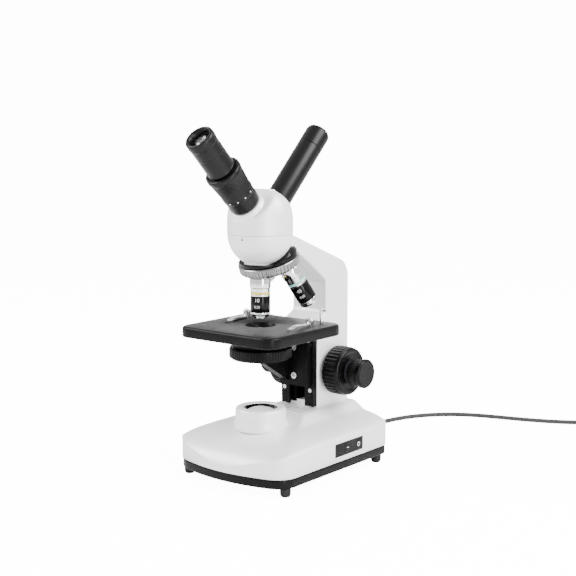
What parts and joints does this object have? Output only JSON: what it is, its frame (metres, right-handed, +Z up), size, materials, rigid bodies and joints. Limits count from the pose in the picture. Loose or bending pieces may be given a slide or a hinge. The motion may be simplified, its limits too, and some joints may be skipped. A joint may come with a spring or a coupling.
{
  "type": "compound teaching microscope",
  "caption": "Upright light microscope with a lit base, limb, focusing stage, turning nosepiece and a swivelling head with opposed viewing tubes.",
  "frame": {"origin": "bottom centre of the instrument without its mains lead, on the table under the feet", "axes": "+Z up; -Y towards the user's side with the focusing front eyepiece, +Y towards the limb; +X towards the side with the power switch"},
  "size_m": [0.3073, 0.5241, 0.348],
  "materials": {
    "white_enamel": "smooth white enamel on aluminium castings",
    "black_enamel": "satin black enamel",
    "black_plastic": "moulded black plastic, satin to glossy",
    "chrome_plate": "bright chrome plate",
    "black_anodised": "black anodised sleeve",
    "bright_steel": "turned bright steel",
    "brass": "turned brass",
    "glass": "polished optical glass",
    "rubber": "moulded black rubber",
    "cord_vinyl": "black flexible vinyl",
    "circuit_board": "lacquered board with parts"
  },
  "bodies": {
    "stand": {"base_plate": "black_enamel", "base_shell": "white_enamel", "base_fasteners": "bright_steel", "rubber_feet": "rubber", "lamp_housing": "white_enamel", "lens_ring": "black_plastic", "collector_lens": "glass", "lamp_socket": "black_plastic", "lamp_bulb": "glass", "power_board": "circuit_board", "switch_panel": "black_plastic", "limb": "white_enamel", "limb_screws": "bright_steel", "shaft_bushes": "brass", "guide_rails": "black_enamel", "nosepiece_mount": "black_enamel", "turret_axle": "bright_steel", "mains_lead": "cord_vinyl", "strain_relief": "cord_vinyl", "lead_coil": "cord_vinyl", "mains_plug": "cord_vinyl", "plug_pins": "brass"},
    "switch_rocker": {"power_switch": "black_plastic"},
    "coarse_drive": {"coarse_shaft": "bright_steel", "coarse_knob_left": "black_plastic", "coarse_knob_right": "black_plastic", "tension_rings": "black_plastic"},
    "fine_drive": {"fine_shaft": "bright_steel", "fine_knob_left": "black_plastic", "fine_knob_right": "black_plastic"},
    "stage_carriage": {"slide_block": "bright_steel", "rack": "bright_steel", "stage_bracket": "black_enamel", "stage_fasteners": "bright_steel", "stage_plate": "black_enamel", "condenser_housing": "black_enamel", "condenser_lens": "glass", "stage_posts": "chrome_plate", "clip_nuts": "chrome_plate"},
    "iris": {"iris_ring": "black_plastic"},
    "left_clip": {"stage_clip_left": "chrome_plate"},
    "right_clip": {"stage_clip_right": "chrome_plate"},
    "turret": {"nosepiece_turret": "chrome_plate", "turret_grip_ring": "chrome_plate", "objective_ten_barrel": "chrome_plate", "objective_forty_barrel": "chrome_plate", "objective_four_barrel": "chrome_plate", "objective_sleeves": "black_anodised", "objective_lenses": "glass"},
    "head": {"head_housing": "white_enamel", "head_dovetail": "brass", "beam_splitter": "glass", "front_tube": "black_enamel", "rear_tube": "black_enamel"},
    "dioptre_ring": {"dioptre_collar": "black_enamel"},
    "draw_tube": {"draw_tube": "black_enamel"},
    "front_ocular": {"front_eyepiece": "black_plastic", "front_lenses": "glass"},
    "rear_ocular": {"rear_eyepiece": "black_plastic", "rear_eye_lens": "glass"}
  },
  "joints": [
    {"name": "power_switch_rock", "type": "hinge", "parent": "stand", "child": "switch_rocker", "pos_m": [0.0658, 0.04666, 0.03], "axis": [0, 0, 1], "range_deg": [0, 6]},
    {"name": "stage_lift", "type": "slide", "parent": "stand", "child": "stage_carriage", "axis": [0, 0, 1], "range_m": [-0.018, 0.0015]},
    {"name": "coarse_focus", "type": "hinge", "parent": "stand", "child": "coarse_drive", "pos_m": [0, 0.07666, 0.097], "axis": [1, 0, 0], "range_deg": [-18, 215]},
    {"name": "fine_focus", "type": "hinge", "parent": "stand", "child": "fine_drive", "pos_m": [0, 0.07666, 0.097], "axis": [1, 0, 0], "continuous": true},
    {"name": "iris_turn", "type": "hinge", "parent": "stage_carriage", "child": "iris", "pos_m": [0, -0.01334, 0.126], "axis": [0, 0, 1], "range_deg": [0, 60]},
    {"name": "left_clip_swing", "type": "hinge", "parent": "stage_carriage", "child": "left_clip", "pos_m": [-0.041, 0.01366, 0.153], "axis": [0, 0, 1], "range_deg": [-45, 30]},
    {"name": "right_clip_swing", "type": "hinge", "parent": "stage_carriage", "child": "right_clip", "pos_m": [0.041, 0.01366, 0.153], "axis": [0, 0, 1], "range_deg": [-36, 40]},
    {"name": "nosepiece_turn", "type": "hinge", "parent": "stand", "child": "turret", "pos_m": [0, -0.01334, 0.253], "axis": [0, 0.3256, -0.9455], "continuous": true},
    {"name": "head_turn", "type": "hinge", "parent": "stand", "child": "head", "pos_m": [0, -0.01334, 0.243], "axis": [0, 0, 1], "continuous": true},
    {"name": "draw_tube_slide", "type": "slide", "parent": "head", "child": "draw_tube", "axis": [0, -0.7071, 0.7071], "range_m": [-0.0015, 0.0015]},
    {"name": "dioptre_turn", "type": "hinge", "parent": "head", "child": "dioptre_ring", "pos_m": [0, -0.01334, 0.251], "axis": [0, -0.7071, 0.7071], "range_deg": [-180, 180]},
    {"name": "front_eyepiece_lift", "type": "slide", "parent": "draw_tube", "child": "front_ocular", "axis": [0, -0.7071, 0.7071], "range_m": [0, 0.03]},
    {"name": "rear_eyepiece_lift", "type": "slide", "parent": "head", "child": "rear_ocular", "axis": [0, 0.7071, 0.7071], "range_m": [0, 0.03]}
  ],
  "couplings": [
    {"joint": "coarse_focus", "follows": "stage_lift", "rad_per_m": -208.33},
    {"joint": "dioptre_turn", "follows": "draw_tube_slide", "rad_per_m": 2092.3}
  ]
}
